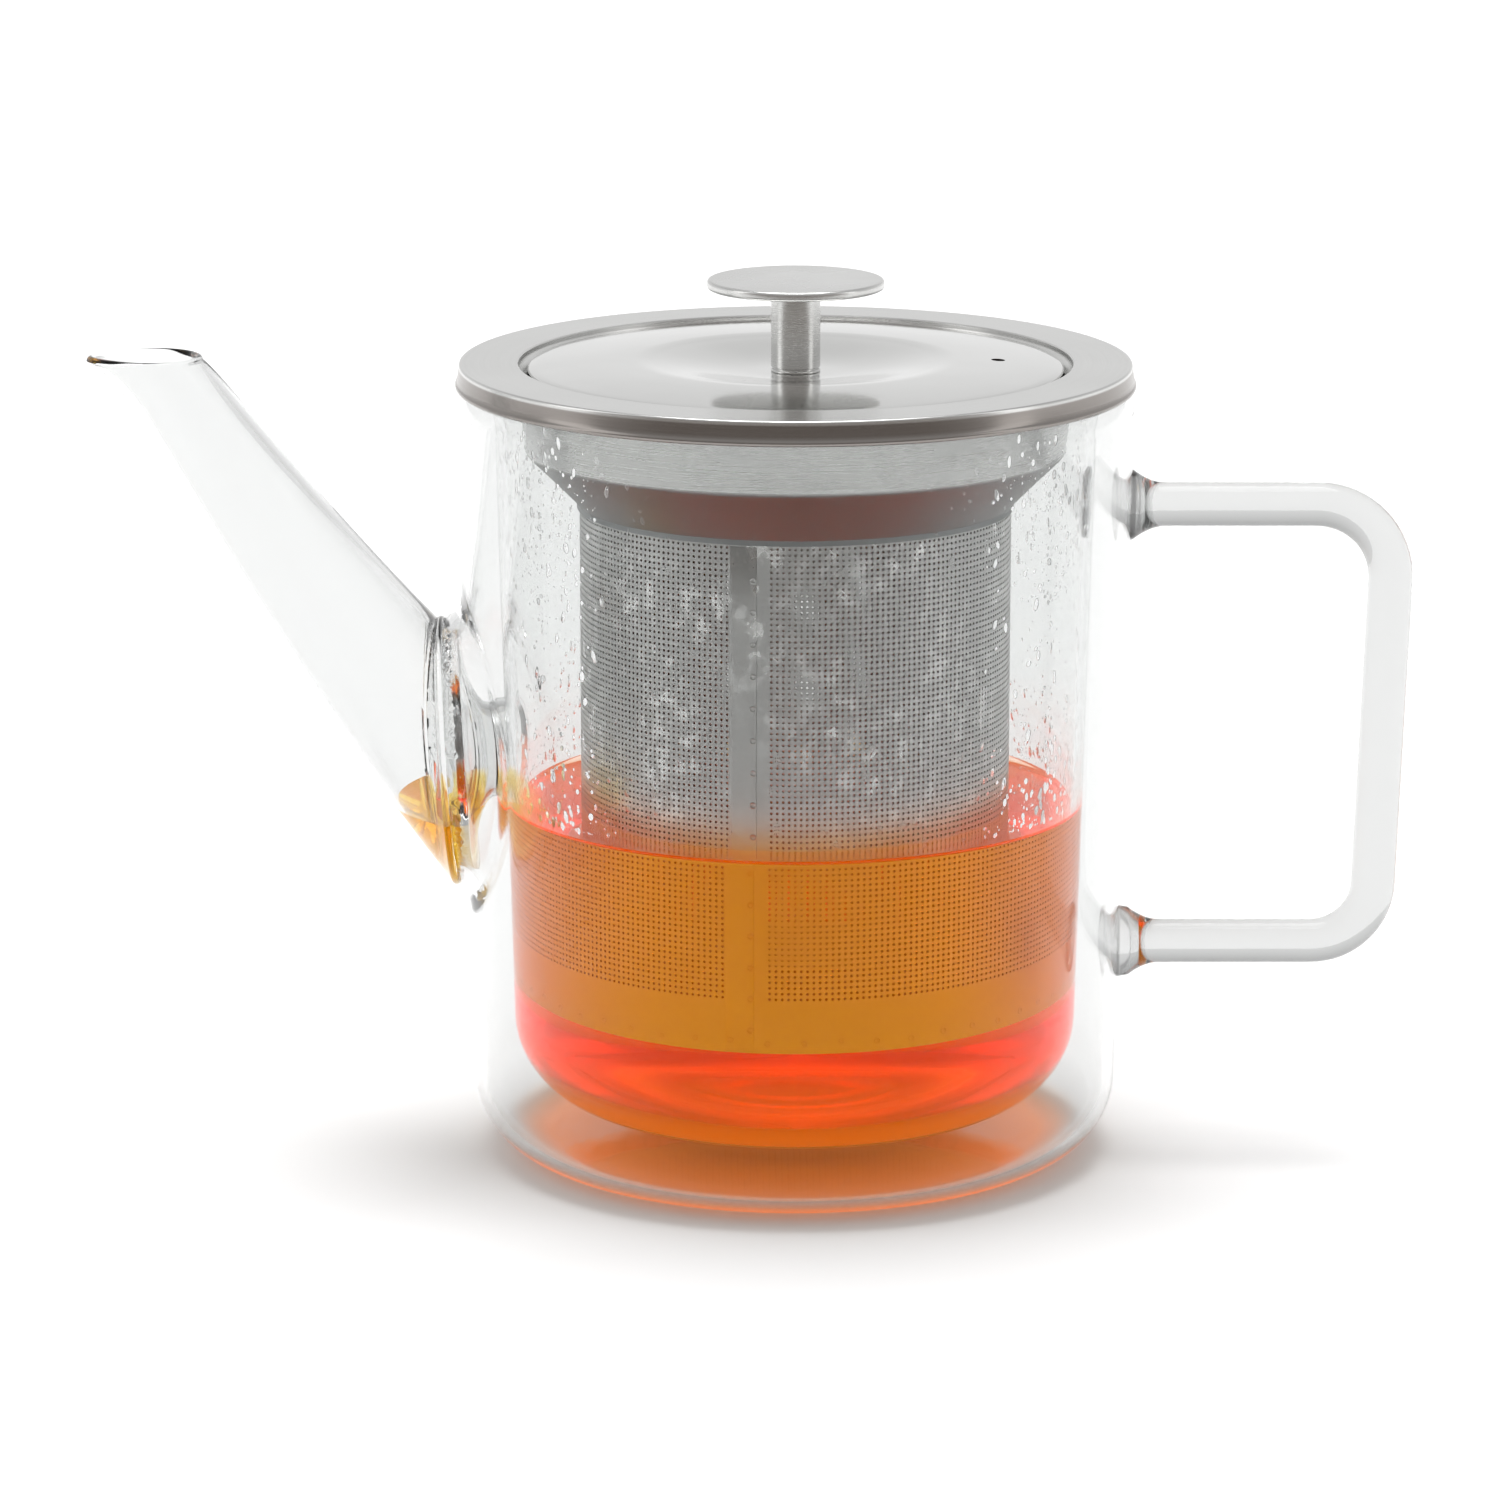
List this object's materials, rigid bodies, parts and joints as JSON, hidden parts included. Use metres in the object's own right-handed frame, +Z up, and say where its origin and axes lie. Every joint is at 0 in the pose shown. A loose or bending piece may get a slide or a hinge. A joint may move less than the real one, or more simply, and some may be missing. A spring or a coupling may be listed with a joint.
{
  "type": "glass teapot",
  "caption": "Double-walled glass teapot with a bowed spout, a bent-rod handle, a drop-in perforated steel infuser and a flat-knobbed steel lid that lifts off.",
  "frame": {"origin": "centre of the flat base on the pot's axis", "axes": "+Z up along the pot's axis, spout towards -X, handle towards +X"},
  "size_m": [0.232, 0.1186, 0.1553],
  "materials": {
    "clear_glass": "clear fire-polished borosilicate glass",
    "satin_steel": "satin stainless steel",
    "polished_steel": "polished stainless steel with fine circular lines",
    "perforated_steel": "etched stainless sheet with rows of fine round holes",
    "screw_steel": "plain machined steel"
  },
  "bodies": {
    "pot": {"outer_glass_wall": "clear_glass", "inner_glass_vessel": "clear_glass", "spout_neck": "clear_glass", "spout_tube": "clear_glass", "spout_weld_ring": "clear_glass", "handle_rod": "clear_glass", "handle_weld_upper": "clear_glass", "handle_weld_lower": "clear_glass"},
    "infuser": {"infuser_flange": "polished_steel", "infuser_collar": "satin_steel", "basket_wall": "perforated_steel", "basket_floor": "perforated_steel"},
    "lid": {"lid_cover": "polished_steel", "lid_skirt": "satin_steel", "knob_stem": "satin_steel", "knob_disc": "satin_steel", "knob_screw": "screw_steel", "knob_washer": "screw_steel"}
  },
  "joints": [
    {"name": "infuser_lift", "type": "slide", "parent": "pot", "child": "infuser", "axis": [0, 0, 1], "range_m": [0, 0.125]},
    {"name": "lid_lift", "type": "slide", "parent": "infuser", "child": "lid", "axis": [0, 0, 1], "range_m": [0, 0.045]}
  ]
}
